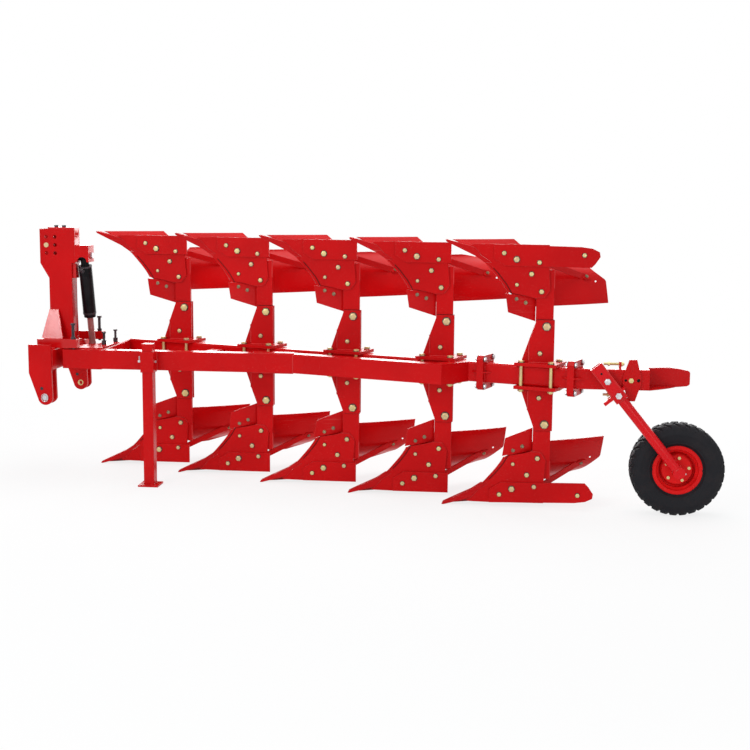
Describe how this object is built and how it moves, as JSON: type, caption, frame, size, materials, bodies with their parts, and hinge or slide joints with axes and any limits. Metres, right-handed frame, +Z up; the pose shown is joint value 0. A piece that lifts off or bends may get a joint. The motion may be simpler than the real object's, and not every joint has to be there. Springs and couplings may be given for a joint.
{
  "type": "reversible plough",
  "caption": "Mounted reversible mouldboard plough: headstock with turnover cylinder, skewed beam with mirrored upper and lower bodies, parking stand and swing-over depth wheel.",
  "frame": {"origin": "middle of the bounding box's base, on the ground that the share points, the stand foot and the tyre stand on", "axes": "+X runs rearwards along the turnover axis, away from the tractor; +Y from the landside of the lower bodies towards their furrow side; +Z up"},
  "size_m": [4.6808, 1.6384, 1.773],
  "materials": {
    "red_paint": "gloss red paint",
    "zinc_bolts": "yellow zinc plating",
    "steel_bolts": "bare and silver plated steel",
    "dark_bolts": "blackened steel",
    "black_paint": "semi-gloss black paint",
    "rod_steel": "dull reddish grey piston rod",
    "tyre_rubber": "black rubber"
  },
  "bodies": {
    "headstock": {"crossbeam": "red_paint", "link_plates": "red_paint", "link_bushes": "zinc_bolts", "link_pin": "steel_bolts", "mast_plates": "red_paint", "mast_core": "red_paint", "mast_bolts": "dark_bolts", "top_link_pin": "zinc_bolts", "cylinder_bracket": "red_paint", "cylinder_pin": "steel_bolts", "bearing_housing": "red_paint", "bearing_bushes": "zinc_bolts", "stop_bars": "red_paint", "stop_screws": "dark_bolts"},
    "frame": {"turnover_shaft": "red_paint", "shaft_nut": "red_paint", "near_tube": "red_paint", "main_beam": "red_paint", "cross_tubes": "red_paint", "head_plates": "red_paint", "set_screws": "dark_bolts", "beam_flanges": "red_paint", "flange_bolts": "steel_bolts", "rear_beam": "red_paint", "wheel_beam": "red_paint", "beam_end": "red_paint", "clamp_plates": "red_paint", "clamp_bolts": "zinc_bolts", "lower_leg_plates": "red_paint", "upper_leg_plates": "red_paint", "lower_stalks": "red_paint", "upper_stalks": "red_paint", "leg_bolts": "zinc_bolts", "lower_frogs": "red_paint", "upper_frogs": "red_paint", "lower_landsides": "red_paint", "upper_landsides": "red_paint", "lower_shares": "red_paint", "upper_shares": "red_paint", "share_points": "red_paint", "lower_mouldboards": "red_paint", "upper_mouldboards": "red_paint", "trash_boards": "red_paint", "stays": "red_paint", "body_bolts": "zinc_bolts", "stand_sleeve": "red_paint", "stand_pin": "steel_bolts", "wheel_bracket": "red_paint", "wheel_screws": "zinc_bolts"},
    "cylinder": {"cylinder_barrel": "black_paint", "cylinder_gland": "black_paint"},
    "rod": {"cylinder_rod": "rod_steel", "rod_pin": "steel_bolts"},
    "stand": {"stand_leg": "red_paint"},
    "arm": {"wheel_arm": "red_paint", "arm_bolt": "steel_bolts"},
    "wheel": {"tyre": "tyre_rubber", "rim": "red_paint", "hub": "red_paint", "wheel_bolts": "zinc_bolts"}
  },
  "joints": [
    {"name": "turnover", "type": "hinge", "parent": "headstock", "child": "frame", "pos_m": [-2.2164, 0.03223, 0.862], "axis": [1, 0, 0], "range_deg": [0, 180]},
    {"name": "cylinder_swing", "type": "hinge", "parent": "headstock", "child": "cylinder", "pos_m": [-2.0314, 0.03223, 1.562], "axis": [1, 0, 0], "range_deg": [-24.49, 0]},
    {"name": "rod_slide", "type": "slide", "parent": "cylinder", "child": "rod", "axis": [0, -0.2095, 0.9778], "range_m": [0, 0.15]},
    {"name": "stand_slide", "type": "slide", "parent": "frame", "child": "stand", "axis": [0, 0, 1], "range_m": [0, 0.45]},
    {"name": "wheel_arm_swing", "type": "hinge", "parent": "frame", "child": "arm", "pos_m": [1.5856, 0.03223, 0.862], "axis": [0, -1, 0], "range_deg": [0, 101.92]},
    {"name": "wheel_spin", "type": "hinge", "parent": "arm", "child": "wheel", "pos_m": [2.0454, 0.03223, 0.295], "axis": [0, 1, 0], "continuous": true}
  ],
  "couplings": [
    {"joint": "cylinder_swing", "follows": "turnover", "ratio": -0.13439}
  ]
}
